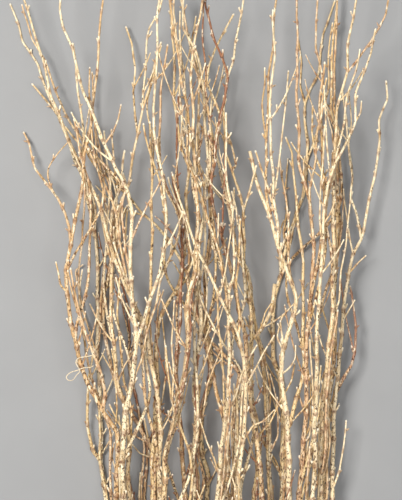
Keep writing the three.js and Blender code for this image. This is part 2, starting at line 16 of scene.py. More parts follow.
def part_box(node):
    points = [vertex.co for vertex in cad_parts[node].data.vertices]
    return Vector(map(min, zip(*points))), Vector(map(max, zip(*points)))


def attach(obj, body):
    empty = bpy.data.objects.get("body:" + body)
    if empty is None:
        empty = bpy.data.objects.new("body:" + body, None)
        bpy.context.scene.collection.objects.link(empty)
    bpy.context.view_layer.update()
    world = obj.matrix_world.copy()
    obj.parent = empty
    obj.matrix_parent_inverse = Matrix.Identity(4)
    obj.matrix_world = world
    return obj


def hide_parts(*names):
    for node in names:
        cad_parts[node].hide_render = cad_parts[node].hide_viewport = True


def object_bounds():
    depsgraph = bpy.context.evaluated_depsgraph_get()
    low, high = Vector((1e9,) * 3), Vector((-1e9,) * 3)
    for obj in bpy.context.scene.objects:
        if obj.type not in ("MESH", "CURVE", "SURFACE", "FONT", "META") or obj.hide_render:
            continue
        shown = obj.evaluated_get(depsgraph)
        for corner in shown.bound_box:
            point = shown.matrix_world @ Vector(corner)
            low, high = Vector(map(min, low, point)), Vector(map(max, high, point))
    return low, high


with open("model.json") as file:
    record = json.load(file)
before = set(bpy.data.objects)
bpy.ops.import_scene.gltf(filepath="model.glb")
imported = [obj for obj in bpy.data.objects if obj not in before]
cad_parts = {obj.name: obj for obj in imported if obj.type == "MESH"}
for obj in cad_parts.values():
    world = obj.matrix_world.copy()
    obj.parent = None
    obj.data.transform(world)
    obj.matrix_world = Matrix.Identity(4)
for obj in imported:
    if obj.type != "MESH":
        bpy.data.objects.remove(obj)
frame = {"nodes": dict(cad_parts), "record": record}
cad_low, cad_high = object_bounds()

MM = 0.001

# ---- driving dimensions ---------------------------------------------------------------------------

RING_STEP = 3.0 * MM  # along a twig, between the rings of its mesh
SIDES = 10
BARK_SHARE = 0.98  # a twig's plain radius, as a share of its CAD tube's
FORK_DEPTH = 2 * MM  # below the CAD tube's low end, where a fork starts inside its stem
FORK_EASE = 4 * MM  # above that end, where it starts to follow the tube
FORK_FLARE = 1.15
INTERNODE = (24 * MM, 42 * MM)  # from one knot to the next
ZIGZAG = 0.75 * MM  # how far a knot stands off the straight line
KNOT_SWELL = 0.36  # extra radius at a knot
KNOT_LENGTH = 2.4 * MM
WART = 0.09  # unevenness of the bark, as a share of the radius

SPROUT_SHARE = 0.9  # of the knots on a stem or fork, how many may carry something
SPUR_SHARE = 0.45  # of those, how many carry a spur
BUD_SHARE = 0.4  # and how many a bud. The rest stay bare.
SPROUT_SPREAD = (math.radians(28), math.radians(62))
SPUR_LENGTH = (2.5 * MM, 8 * MM)
SPUR_RADIUS = (0.9 * MM, 1.5 * MM)
BUD_LENGTH = (3.0 * MM, 5.5 * MM)
BUD_RADIUS = (0.9 * MM, 1.25 * MM)
SPUR_PROFILE = (1.15, 0.95, 0.85, 1.1, 0.8)  # shares of its radius, from its root to its tip
# (share of its length, share of its radius)
BUD_PROFILE = ((0.0, 0.6), (0.25, 1.0), (0.55, 0.95), (0.85, 0.5), (1.0, 0.15))
# (radii past the twig's end, share of the twig's radius, paleness)
END_BUD = ((0.9, 1.18, 0.5), (2.0, 1.05, 0.8), (2.9, 0.5, 1.0))
SHOOT_LENGTH = (30 * MM, 110 * MM)
SHOOT_RADIUS = 1.15 * MM
SHOOT_SPREAD = (22, 42)  # degrees, from the twig that it grows on
SHOOT_TURN = 0.035  # how far a shoot turns towards the tips in one ring step
BRANCH_RADIUS = (1.5 * MM, 2.1 * MM)
# Long, thin branches that climb between their stem and a neighbour: how many leave each stem or fork,
# and where they leave it and end, from the spread line.
BUTT_BRANCHES = {"count": 2, "leaves": (-290 * MM, -120 * MM), "ends": (-10 * MM, 200 * MM)}
LOW_BRANCHES = {"count": 3, "leaves": (-240 * MM, 40 * MM), "ends": (90 * MM, 430 * MM)}
HIGH_BRANCHES = {"count": 4, "leaves": (120 * MM, 400 * MM), "ends": (330 * MM, 620 * MM)}
BRANCH_CROSSES = (0.35, 1.25)  # how far across to the neighbour a branch goes: 1 is all the way
CROSSING_LENGTH = 110 * MM  # along a branch, until it is that far across
BRANCH_SWAY = (0.5 * MM, 3 * MM)
SWAY_LENGTH = 32 * MM  # along a branch, for one radian of its sway
LEAST_BRANCH = 60 * MM
NEIGHBOUR_SHORT = 40 * MM  # a neighbour may end this far short of a branch, which then ends with it
CROWDED = 14 * MM  # a seeded twig only grows where it has neighbours this close on both sides
AIR = 0.3 * MM  # planned between the plain bark of a side twig and its neighbours'. Knots can use it up.
FLOOR_AIR = 0.1 * MM

SPREAD_LINE = Vector((-1.6, -46.5)) * MM  # where part.mjs counts x and y from: the sheaf is fully open here
TIE_CLEAR = 40 * MM  # no shoots this close to the binding

TWINE_RADIUS = 1.5 * MM
TWINE_TURNS = 6
TWINE_PLIES = 3
TWINE_LAY = 9 * MM  # along the twine, for one turn of a ply
TURN_STEPS = 96  # rings in one turn round the sheaf
KNOT_STEPS = 90
END_STEPS = 10
HAIRS = 500
HAIR_LENGTH = (1.5 * MM, 3.0 * MM)
HAIR_RADIUS = 0.07 * MM

VIEW_HEIGHT = 600 * MM  # of the part of the sheaf that the picture shows
TIPS_ABOVE_VIEW = 24 * MM
VIEW_SHIFT = 3.2 * MM  # of the view's middle to the right of the sheaf's
CAMERA_DISTANCE = 2.4
SENSOR = 36.0  # in mm, as Blender counts a sensor and a lens
# (name, place from the middle of the view, width, watts, colour)
LIGHTS = [
    ("key", (-0.85, 0.45, 2.2), 0.9, 69, (1.0, 0.97, 0.93)),
    ("front", (0.45, -0.3, 2.4), 1.3, 22, (1.0, 0.98, 0.95)),
    ("fill", (1.6, -0.8, 1.5), 1.2, 6, (0.93, 0.96, 1.0)),
]
SKY_COLOUR = (0.9, 0.94, 1.0, 1)
SKY_STRENGTH = 0.17
FLOOR_SIZE = 30

# ---- twigs too fine for the CAD model ---------------------------------------------------------------

# (the twig that it grows from, radius at the root in mm, points in mm from the spread line)
SIDE_TWIGS = [
    ("stem_01", 1.2, [(-124, 172), (-130, 198), (-139, 223), (-144, 248), (-149, 275), (-141, 281)]),
    ("stem_02", 1.2, [(-156, 250), (-163, 258), (-165, 272), (-168, 284)]),
    ("stem_02", 1.1, [(-95, 60), (-98, 85), (-96, 110), (-97, 140), (-99, 165), (-102, 180)]),
    ("stem_03", 1.2, [(-79, 135), (-66, 170), (-60, 200), (-52, 225), (-45, 245)]),
    ("stem_03", 1.3, [(-78, 310), (-70, 330), (-60, 350), (-48, 372), (-41, 386)]),
    ("stem_03", 1.2, [(-109, 425), (-99, 440), (-93, 455), (-90, 470)]),
    ("stem_04", 1.1, [(-82, 20), (-97, 30), (-103, 50), (-100, 66)]),
    ("stem_04", 1.1, [(-96, 140), (-88, 160), (-76, 178), (-70, 190)]),
    ("stem_06", 1.2, [(-50, 188), (-49, 211), (-47, 232), (-41, 250)]),
    ("stem_06", 1.2, [(-40, 228), (-43, 240), (-46, 252)]),
    ("stem_06", 1.1, [(-50, 95), (-42, 120), (-37, 150), (-39, 185), (-42, 216)]),
    ("stem_07", 1.1, [(-49, 38), (-58, 48), (-70, 52), (-78, 62)]),
    ("stem_08", 1.2, [(-62, 207), (-50, 232), (-44, 262), (-33, 290), (-30, 312)]),
    ("stem_08", 1.2, [(-99, 290), (-92, 312), (-93, 335), (-90, 352)]),
    ("stem_09", 1.2, [(-25, 99), (-29, 125), (-28, 160), (-30, 190), (-27, 238)]),
    ("stem_09", 1.2, [(-10, 180), (-26, 206), (-33, 222), (-41, 240)]),
    ("stem_10", 1.2, [(-19, 80), (-28, 96), (-42, 104), (-52, 122)]),
    ("stem_12", 1.2, [(-1, 80), (8, 105), (12, 138), (24, 167), (33, 190), (36, 204)]),
    ("stem_12", 1.2, [(3, 190), (11, 222), (12, 250), (9, 282)]),
    ("stem_12", 1.1, [(-4, 135), (8, 160), (14, 180), (25, 210), (31, 230)]),
    ("stem_13", 1.1, [(12, 10), (22, 28), (26, 40)]),
    ("stem_14", 1.2, [(26, 30), (20, 55), (12, 73), (4, 98)]),
    ("stem_14", 1.3, [(35, 104), (46, 128), (52, 152), (64, 176), (70, 186)]),
    ("stem_15", 1.2, [(11, 195), (22, 214), (28, 232), (38, 246)]),
    ("stem_16", 1.2, [(54, 75), (66, 93), (79, 98), (90, 110)]),
    ("stem_16", 1.2, [(57, 140), (70, 162), (79, 181), (90, 198)]),
    ("stem_17", 1.1, [(46, 118), (34, 144), (26, 175), (12, 198)]),
    ("stem_17", 1.1, [(-12, 262), (-20, 270), (-28, 284)]),
    ("stem_18", 1.3, [(72, 75), (88, 93), (100, 118), (113, 142), (117, 162)]),
    ("stem_18", 1.1, [(66, 190), (76, 206), (82, 226), (89, 236)]),
    ("stem_19", 1.2, [(37, 290), (30, 316), (31, 345), (33, 395), (35, 440)]),
    ("stem_20", 1.2, [(87, 50), (98, 74), (98, 100), (96, 123), (89, 148)]),
    ("stem_20", 1.1, [(84, 120), (74, 134), (71, 152)]),
    ("stem_21", 1.1, [(105, 20), (96, 44), (82, 62), (66, 82)]),
    ("stem_21", 1.2, [(109, 300), (106, 322), (110, 352), (108, 374), (111, 410)]),
    ("stem_21", 1.2, [(132, 478), (126, 500), (128, 530), (124, 556)]),
    ("stem_22", 1.1, [(101, 150), (112, 160), (118, 170), (118, 184)]),
    ("stem_22", 1.1, [(102, 180), (96, 196), (101, 219), (112, 232), (120, 238)]),
    ("stem_22_fork_b", 1.2, [(92, 358), (96, 392), (101, 428), (105, 470), (109, 512)]),
    ("stem_22_fork_c", 1.2, [(83, 430), (79, 456), (78, 476), (81, 500), (81, 516)]),
    ("stem_23", 1.2, [(127, 68), (136, 90), (137, 120), (136, 140)]),
    ("stem_24", 1.2, [(148, 300), (145, 340), (147, 382), (150, 420), (151, 446)]),
    ("stem_24", 1.1, [(149, 330), (158, 344), (163, 358)]),
    ("stem_24", 1.1, [(187, 451), (193, 462), (194, 474)]),
    ("stem_25", 1.2, [(161, 215), (170, 240), (172, 275), (178, 307), (181, 340), (184, 372)]),
    ("stem_25", 1.2, [(148, 20), (156, 45), (160, 70), (158, 96)]),
    ("stem_26", 1.2, [(168, 272), (172, 298), (176, 330), (178, 360)]),
    ("stem_26", 1.1, [(156, 85), (166, 98), (172, 112)]),
    ("stem_27", 1.3, [(164, 10), (172, 34), (177, 60), (180, 92)]),
    ("stem_27", 1.2, [(183, 272), (194, 284), (203, 292)]),
    ("stem_27", 1.1, [(176, 215), (183, 226), (190, 238)]),
]

BROKEN_OFF = ("stem_22", "stem_20_fork_a")  # these end thick, in a flat break

# A dry curl of root fibre caught on stem_02, in mm: (across, along, up from the stem)
CURL_AT_Y = 156 * MM
CURL = [(13, 6, 2), (10, 2, 4), (5, 5, 6), (0, 4, 6), (-4, 1, 6), (-9, -1, 5), (-14, 0, 4), (-16, -4, 4),
        (-21, -6, 3), (-21, -10, 3), (-16, -13, 4), (-12, -13, 4), (-8, -9, 5), (-9, -5, 7), (-5, -3, 7),
        (-1, -2, 7), (-2, 2, 8), (-7, 6, 7), (-10, 11, 5), (-7, 15, 5), (-1, 17, 6), (5, 16, 6),
        (10, 18, 5)]
CURL_RADIUS = 0.55 * MM


# ---- reading the CAD tubes --------------------------------------------------------------------------

def cad_points(node):
    mesh = frame["nodes"][node].data
    points = np.empty(len(mesh.vertices) * 3)
    mesh.vertices.foreach_get("co", points)
    return np.unique(points.reshape(-1, 3).round(6), axis=0)


def cad_rings(node):
    """Middle and radius of each whole ring of the node's tube, from its low end in y to its high end."""
    points = cad_points(node)
    heights = points[:, 1].round(5)
    rings = []
    for y in np.unique(heights):
        ring = points[heights == y]
        if len(ring) < 6:
            continue
        middle = (ring.min(axis=0) + ring.max(axis=0)) / 2
        rings.append((Vector(middle), float(np.ptp(ring[:, 0])) / 2))
    return rings


# ---- the course of one twig -------------------------------------------------------------------------

class Twig:
    """A course through space with a radius at every ring, and where its knots are."""

    def __init__(self, points, radii, rng, zigzag=ZIGZAG, swell=KNOT_SWELL, fade=None):
        lengths = [0.0]
        for a, b in zip(points, points[1:]):
            lengths.append(lengths[-1] + (b - a).length)
        self.length = lengths[-1]
        count = max(4, int(self.length / RING_STEP))
        self.along = np.linspace(0, self.length, count + 1)
        course = np.array([np.interp(self.along, lengths, [p[k] for p in points]) for k in range(3)]).T
        self.radius = np.interp(self.along, lengths, radii)
        self.knots = self.place_knots(rng)
        self.knot = np.zeros(count + 1)
        side = rng.choice((-1, 1))
        bends_at, bends = [0.0], [(0.0, 0.0)]
        for where in self.knots:
            self.knot = np.maximum(self.knot, np.exp(-(((self.along - where) / KNOT_LENGTH) ** 2)))
            bends_at.append(where)
            bends.append((side * zigzag * rng.uniform(0.5, 1.2), zigzag * rng.uniform(-0.3, 0.3)))
            side = -side
        bends_at.append(self.length)
        bends.append((0.0, 0.0))
        ease = np.ones(count + 1) if fade is None else np.array([fade(y) for y in course[:, 1]])
        course[:, 0] += np.interp(self.along, bends_at, [b[0] for b in bends]) * ease
        course[:, 2] += np.interp(self.along, bends_at, [b[1] for b in bends]) * ease
        self.course = soften(course)
        self.radius = self.radius * (1 + swell * self.knot * ease)
        self.course[:, 2] = np.maximum(self.course[:, 2], self.radius * (1 + WART))  # lies on the surface

    def place_knots(self, rng):
        knots, where = [], rng.uniform(0.3, 1) * INTERNODE[0]
        while where < self.length - 6 * MM:
            knots.append(where)
            where += rng.uniform(*INTERNODE)
        return knots

    def at_y(self, y):
        """The point and radius where a twig that rises in y passes y."""
        ys = self.course[:, 1]
        point = Vector((np.interp(y, ys, self.course[:, 0]), y, np.interp(y, ys, self.course[:, 2])))
        return point, float(np.interp(y, ys, self.radius))

    def at(self, where):
        """The point, direction and radius at a distance along the twig."""
        i = min(max(int(np.searchsorted(self.along, where)), 1), len(self.along) - 1)
        t = (where - self.along[i - 1]) / (self.along[i] - self.along[i - 1])
        a, b = Vector(self.course[i - 1]), Vector(self.course[i])
        return a.lerp(b, t), (b - a).normalized(), float(self.radius[i])


def soften(course):
    """Rounds the corners a little, and leaves the ends where they are."""
    inner = 0.5 * course[1:-1] + 0.25 * (course[:-2] + course[2:])
    return np.vstack([course[:1], inner, course[-1:]])


# ---- keeping twigs out of each other ----------------------------------------------------------------

class Thicket:
    """Every ring laid down so far, sorted into slabs across y, to look up neighbours quickly."""

    SLAB = 6 * MM

    def __init__(self):
        self.slabs = {}

    def add(self, twig, owner):
        for p, r in zip(twig.course, twig.radius):
            self.slabs.setdefault(int(p[1] // self.SLAB), []).append((p[0], p[1], p[2], r, owner))

    def near(self, point, reach, skip):
        """Neighbours within reach sideways, as (sideways distance, height, radius)."""
        slab = int(point[1] // self.SLAB)
        found = []
        for s in (slab - 1, slab, slab + 1):
            for x, y, z, r, owner in self.slabs.get(s, ()):
                if abs(x - point[0]) < reach + r and abs(y - point[1]) < RING_STEP and owner != skip:
                    found.append((abs(x - point[0]), z, r))
        return found

    def crowded(self, point):
        """Whether there are twigs close by on both sides."""
        slab = self.slabs.get(int(point[1] // self.SLAB), ())
        gaps = [x - point[0] for x, *_ in slab]
        return any(0 < g < CROWDED for g in gaps) and any(-CROWDED < g < 0 for g in gaps)

    def thread(self, points, radius, parent, rooted=12 * MM, rounds=40):
        """Moves a side twig's points up or down so that it passes over or under what it crosses.

        It may touch its parent for the length `rooted`. False if there is somewhere no room for it.
        """
        low, high = [], []
        for i, p in enumerate(points):
            floor, roof = radius + FLOOR_AIR, 1.0
            skip = parent if i * RING_STEP < rooted else None
            for away, z, r in self.near(p, radius + AIR, skip):
                need = radius + r + AIR
                if away >= need:
                    continue
                lift = math.sqrt(need**2 - away**2)
                if z <= p[2]:
                    floor = max(floor, z + lift)
                else:
                    roof = min(roof, z - lift)
            low.append(floor)
            high.append(roof)
        for _ in range(rounds):
            for i in range(1, len(points)):
                after = points[i + 1][2] if i + 1 < len(points) else 2 * points[i][2] - points[i - 1][2]
                z = 0.5 * (points[i - 1][2] + after)
                points[i][2] = max(min(0.7 * z + 0.3 * points[i][2], high[i]), low[i])
        return all(lo <= hi for lo, hi in zip(low[2:], high[2:]))


# ---- mesh -------------------------------------------------------------------------------------------

class Skin:
    """One piece's mesh in the making, with the values that its bark reads from each vertex."""

    def __init__(self):
        self.points, self.faces, self.slots = [], [], []
        self.tint, self.knot, self.age = [], [], []

    def ring(self, centre, axis, radius, sides, tint, knot, age, wart=0.0, rng=None, turn=0.0):
        first = len(self.points)
        level = Vector((0, 0, 1)).cross(axis)
        across = level.normalized() if level.length > 1e-6 else Vector((1, 0, 0))
        up = axis.cross(across)
        for k in range(sides):
            angle = math.tau * k / sides + turn
            r = radius * (1 + (wart * rng.uniform(-1, 1) if wart else 0.0))
            self.points.append(centre + (across * math.cos(angle) + up * math.sin(angle)) * r)
            self.tint.append(tint)
            self.knot.append(knot)
            self.age.append(age)
        return list(range(first, first + sides))

    def bridge(self, a, b, slot=0):
        for k in range(len(a)):
            n = (k + 1) % len(a)
            self.faces.append((a[k], a[n], b[n], b[k]))
            self.slots.append(slot)

    def cap(self, ring, slot=0, backwards=False):
        self.faces.append(tuple(reversed(ring)) if backwards else tuple(ring))
        self.slots.append(slot)

    def tube(self, twig, tint, rng, sides=SIDES, wart=WART, cut_start=False, cut_end=False, age=1.0):
        """Skins a twig's course. A cut end is flat and shows the wood, and any other end is rounded."""
        course = [Vector(p) for p in twig.course]
        last = len(course) - 1
        previous = None
        for i, p in enumerate(course):
            axis = (course[min(i + 1, last)] - course[max(i - 1, 0)]).normalized()
            grow = age * (1 - 0.75 * twig.along[i] / twig.length)
            ring = self.ring(p, axis, twig.radius[i], sides, tint, twig.knot[i], grow, wart, rng)
            if previous is None and cut_start:
                self.cut_face(p, axis, twig.radius[i], sides, tint, ring, outward=-1)
            elif previous is None:
                self.cap(ring, backwards=True)
            else:
                self.bridge(previous, ring)
            previous = ring
        axis = (course[-1] - course[-2]).normalized()
        if cut_end:
            self.cut_face(course[-1], axis, twig.radius[-1], sides, tint, previous, outward=1)
        else:
            self.round_end(course[-1], axis, twig.radius[-1], sides, tint, previous)

    def cut_face(self, p, axis, radius, sides, tint, ring, outward):
        """A sawn end: a narrow bark edge, then wood that dips a little towards the pith."""
        inner = self.ring(p + axis * outward * 0.15 * MM, axis, radius * 0.86, sides, tint, 0, 1)
        pith = self.ring(p - axis * outward * 0.1 * MM, axis, radius * 0.2, sides, tint, 1, 1)
        pairs = ((ring, inner, 0), (inner, pith, 1))
        for a, b, slot in pairs:
            if outward > 0:
                self.bridge(a, b, slot)
            else:
                self.bridge(b, a, slot)
        self.cap(pith, 1, backwards=outward < 0)

    def round_end(self, p, axis, radius, sides, tint, ring):
        """A blunt end bud, slightly fatter than its twig and pale at the tip."""
        for forward, share, pale in END_BUD:
            new = self.ring(p + axis * forward * radius, axis, radius * share, sides, tint, -pale, 0)
            self.bridge(ring, new)
            ring = new
        self.cap(ring)

    def peg(self, root, direction, length, radius, tint, rng, sides=6, bend=0.3):
        """A short spur that bends towards the tips and ends in a knob."""
        steps = len(SPUR_PROFILE) - 1
        upward = Vector((0, 1, 0.15)).normalized()
        p, d, previous = root.copy(), direction.copy(), None
        for i, share in enumerate(SPUR_PROFILE):
            pale = 1.2 * (i / steps) ** 2 - 0.3
            ring = self.ring(p, d, radius * share, sides, tint, -pale, 0.4, 0.08, rng)
            if previous:
                self.bridge(previous, ring)
            else:
                self.cap(ring, backwards=True)
            previous = ring
            d = (d + upward * bend).normalized()
            p = p + d * length / steps
        self.cap(previous)

    def bud(self, root, direction, length, radius, tint, sides=6):
        """A closed, pointed bud."""
        previous = None
        for forward, share in BUD_PROFILE:
            ring = self.ring(root + direction * forward * length, direction, radius * share, sides, tint,
                             0.9 - 0.5 * forward, 0.2)
            if previous:
                self.bridge(previous, ring)
            else:
                self.cap(ring, backwards=True)
            previous = ring
        self.cap(previous)

    def build(self, name, materials):
        mesh = bpy.data.meshes.new(name)
        mesh.from_pydata([tuple(p) for p in self.points], [], self.faces)
        for title, values in (("tint", self.tint), ("knot", self.knot), ("age", self.age)):
            mesh.attributes.new(title, "FLOAT", "POINT").data.foreach_set("value", values)
        for material in materials:
            mesh.materials.append(material)
        mesh.polygons.foreach_set("material_index", self.slots)
        mesh.polygons.foreach_set("use_smooth", [True] * len(self.faces))
        mesh.update()
        piece = bpy.data.objects.new(name, mesh)
        bpy.context.scene.collection.objects.link(piece)
        return piece


# ---- materials --------------------------------------------------------------------------------------

def srgb(hex_code):
    """A colour written as #rrggbb, as linear values."""
    parts = [int(hex_code[i:i + 2], 16) / 255 for i in (1, 3, 5)]
    return [c / 12.92 if c <= 0.04045 else ((c + 0.055) / 1.055) ** 2.4 for c in parts] + [1.0]


class Shader:
    """Short calls for the node graphs below."""

    def __init__(self, name):
        self.material = bpy.data.materials.new(name)
        self.material.use_nodes = True
        self.tree = self.material.node_tree
        self.surface = self.tree.nodes["Principled BSDF"]
        self.place = self.tree.nodes.new("ShaderNodeTexCoord").outputs["Object"]

    def link(self, value, socket):
        if isinstance(value, bpy.types.NodeSocket):
            self.tree.links.new(value, socket)
        else:
            socket.default_value = value

    def value(self, name):
        node = self.tree.nodes.new("ShaderNodeAttribute")
        node.attribute_name = name
        return node.outputs["Fac"]

    def noise(self, scale, detail=3.0, rough=0.55):
        """Noise with its own scale, per metre, along each axis."""
        mapping = self.tree.nodes.new("ShaderNodeMapping")
        self.link(self.place, mapping.inputs["Vector"])
        mapping.inputs["Scale"].default_value = scale
        node = self.tree.nodes.new("ShaderNodeTexNoise")
        self.link(mapping.outputs["Vector"], node.inputs["Vector"])
        node.inputs["Scale"].default_value = 1.0
        node.inputs["Detail"].default_value = detail
        node.inputs["Roughness"].default_value = rough
        return node.outputs["Fac"]

    def math(self, operation, a, b=0.0, clamp=False):
        node = self.tree.nodes.new("ShaderNodeMath")
        node.operation = operation
        node.use_clamp = clamp
        self.link(a, node.inputs[0])
        self.link(b, node.inputs[1])
        return node.outputs[0]

    def ramp(self, value, low, high):
        """0 below low, 1 above high, and straight between."""
        node = self.tree.nodes.new("ShaderNodeMapRange")
        self.link(value, node.inputs["Value"])
        node.inputs["From Min"].default_value = low
        node.inputs["From Max"].default_value = high
        return node.outputs["Result"]

    def mix(self, share, a, b):
        node = self.tree.nodes.new("ShaderNodeMix")
        node.data_type = "RGBA"
        self.link(share, node.inputs["Factor"])
        self.link(a, node.inputs["A"])
        self.link(b, node.inputs["B"])
        return node.outputs["Result"]

    def bump(self, height, distance, strength=1.0):
        node = self.tree.nodes.new("ShaderNodeBump")
        node.inputs["Distance"].default_value = distance
        node.inputs["Strength"].default_value = strength
        self.link(height, node.inputs["Height"])
        self.link(node.outputs["Normal"], self.surface.inputs["Normal"])


def bark(name, pale, mid, deep, speck, speck_share, young=None):
    """Dry bark: long streaks, soft brown mottling, pale patches that are partly waxy bloom and partly
    painted highlight, fine specks that thicken with age, and scars at knots.

    young is the colour that the bark takes towards the tip, where it differs.
    """
    s = Shader(name)
    tint, knot, age = s.value("tint"), s.value("knot"), s.value("age")
    streak = s.noise((900, 45, 900), 4, 0.65)
    patch = s.noise((70, 22, 70), 2)
    mottle = s.noise((430, 150, 430), 4, 0.7)
    marks = s.noise((460, 300, 460), 2, 0.6)
    pores = s.noise((900, 2200, 900), 2, 0.5)
    ground = s.math("ADD", s.math("MULTIPLY", streak, 1.1), s.math("MULTIPLY", tint, 0.45))
    colour = s.mix(s.ramp(ground, 0.55, 1.02), srgb(pale), srgb(mid))
    if young:
        youth = s.ramp(s.math("ADD", age, s.math("MULTIPLY", patch, 0.4)), 0.78, 0.62)
        colour = s.mix(youth, colour, s.mix(s.ramp(streak, 0.35, 0.7), srgb(young[0]), srgb(young[1])))
    rose = s.math("MULTIPLY", s.ramp(tint, 0.6, 0.95), 0.45)
    colour = s.mix(rose, colour, s.mix(s.ramp(streak, 0.35, 0.65), srgb("#fae0cc"), srgb("#c08c6a")))
    brown = s.math("ADD", s.ramp(mottle, 0.47, 0.62), s.ramp(patch, 0.52, 0.72))
    colour = s.mix(s.math("MULTIPLY", brown, 0.5, clamp=True), colour, srgb(deep))
    # Pale cream patches: partly the bark's own waxy bloom, partly painted highlight that stands in for the
    # bright lit edges of the stems.
    bloom_and_highlight = s.math("MULTIPLY", s.ramp(s.noise((330, 110, 330), 3), 0.52, 0.64), 0.75)
    colour = s.mix(bloom_and_highlight, colour, srgb("#fff0d0"))
    reach = s.math("SUBTRACT", marks, s.math("MULTIPLY", age, speck_share))
    dark = s.ramp(reach, 0.32, 0.27)
    colour = s.mix(s.math("MULTIPLY", dark, 0.95), colour, srgb(speck))
    dash = s.math("MULTIPLY", s.ramp(pores, 0.63, 0.7), 0.4)
    colour = s.mix(dash, colour, srgb(speck))
    colour = s.mix(s.math("MULTIPLY", s.ramp(knot, 0.05, 0.5), 0.4), colour, srgb("#a06c50"))
    scar = s.math("MULTIPLY", s.ramp(knot, 0.35, 0.95), s.ramp(streak, 0.3, 0.62))
    colour = s.mix(s.math("MULTIPLY", scar, 0.7), colour, srgb(speck))
    colour = s.mix(s.math("MULTIPLY", s.ramp(knot, -0.05, -0.8), 0.8), colour, srgb("#fbf2dd"))
    s.link(colour, s.surface.inputs["Base Color"])
    s.surface.inputs["Specular IOR Level"].default_value = 0.5
    relief = s.math("ADD", s.math("MULTIPLY", streak, 0.8), s.math("MULTIPLY", mottle, -0.6))
    relief = s.math("SUBTRACT", relief, s.math("MULTIPLY", dark, 0.4))
    s.bump(s.math("SUBTRACT", relief, s.math("MULTIPLY", dash, 0.6)), 0.5 * MM)
    rough = s.math("ADD", s.math("MULTIPLY", streak, 0.3), 0.38)
    s.link(rough, s.surface.inputs["Roughness"])
    return s.material


def cut_wood():
    """A dried sawn end: pale wood with a darker pith and fine rays."""
    s = Shader("cut_wood")
    grain = s.noise((2600, 300, 2600), 3, 0.7)
    wood = s.mix(s.ramp(grain, 0.35, 0.7), srgb("#efdcb2"), srgb("#c9a26c"))
    s.link(s.mix(s.ramp(s.value("knot"), 0.75, 1.0), wood, srgb("#6d4a28")), s.surface.inputs["Base Color"])
    s.surface.inputs["Roughness"].default_value = 0.85
    s.bump(grain, 0.2 * MM)
    return s.material


def jute():
    """Loose brown fibre, mottled lighter and darker in soft patches."""
    s = Shader("jute_twine")
    fibre = s.noise((1500, 1500, 1500), 5, 0.75)
    patch = s.noise((120, 160, 120), 2)
    colour = s.mix(s.ramp(fibre, 0.32, 0.7), srgb("#7d5b34"), srgb("#cba873"))
    colour = s.mix(s.math("MULTIPLY", s.ramp(patch, 0.45, 0.75), 0.4), colour, srgb("#9b7444"))
    s.link(colour, s.surface.inputs["Base Color"])
    s.surface.inputs["Roughness"].default_value = 0.92
    s.surface.inputs["Sheen Weight"].default_value = 0.25
    s.bump(fibre, 0.3 * MM)
    return s.material


BARKS = {
    "pale_bark": bark("pale_bark", "#fbeac4", "#d8b075", "#98733a", "#4d2f10", 0.2),
    "tan_bark": bark("tan_bark", "#f3d9a6", "#c99d58", "#8a6230", "#452810", 0.21),
    "russet_bark": bark("russet_bark", "#eed3a2", "#bd8c4e", "#84522c", "#3d210f", 0.24,
                        young=("#a8714a", "#6d3f2a")),
}
WOOD = cut_wood()
JUTE = jute()


# ---- growing the sheaf ------------------------------------------------------------------------------

slot_of = {part["node"]: part["material_slot"] for part in frame["record"]["subparts"]}
tie_low, tie_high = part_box("twine_binding")
tie_y = (tie_low.y + tie_high.y) / 2


def loose(y):
    """0 where the binding holds the stems tight, rising to 1 where they have room to wander."""
    return min(max((abs(y - tie_y) - TIE_CLEAR) / (3 * TIE_CLEAR), 0.0), 1.0)


def stem_twig(node, rng):
    rings = cad_rings(node)
    radii = [r * BARK_SHARE for _, r in rings]
    return Twig([p for p, _ in rings], radii, rng, fade=loose)


def fork_twig(node, trunk, rng):
    """A fork's twig starts inside its stem, just below where the CAD tube leaves the stem."""
    leaves_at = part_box(node)[0].y
    rings = [ring for ring in cad_rings(node) if ring[0].y > leaves_at + FORK_EASE]
    root, root_radius = trunk.at_y(leaves_at - FORK_DEPTH)
    points = [root] + [p for p, _ in rings]
    first = min(rings[0][1] * FORK_FLARE, root_radius * 0.9)
    radii = [first] + [r * BARK_SHARE for _, r in rings]
    return Twig(points, radii, rng)


def sprout(skin, twig, tint, rng, density=1.0):
    """Puts a bud, a spur or nothing at each knot, on alternate sides."""
    side = rng.choice((-1, 1))
    for where in twig.knots:
        side = -side
        root, axis, radius = twig.at(where)
        if loose(root.y) < 0.2 or rng.random() > SPROUT_SHARE * density:
            continue
        out = Quaternion(axis, rng.uniform(-0.7, 0.7)) @ axis.cross(Vector((0, 0, 1))).normalized() * side
        spread = rng.uniform(*SPROUT_SPREAD)
        direction = (axis * math.cos(spread) + out * math.sin(spread)).normalized()
        base = root + out * radius * 0.35
        kind = rng.random()
        if (base + direction * SPUR_LENGTH[1]).z < 2 * MM:
            continue
        if kind < SPUR_SHARE:
            length = rng.uniform(*SPUR_LENGTH)
            thickness = min(rng.uniform(*SPUR_RADIUS), 0.75 * radius)
            skin.peg(base, direction, radius + length, thickness, tint, rng)
        elif kind < SPUR_SHARE + BUD_SHARE:
            length = rng.uniform(*BUD_LENGTH)
            skin.bud(base, direction, 0.6 * radius + length, rng.uniform(*BUD_RADIUS), tint)


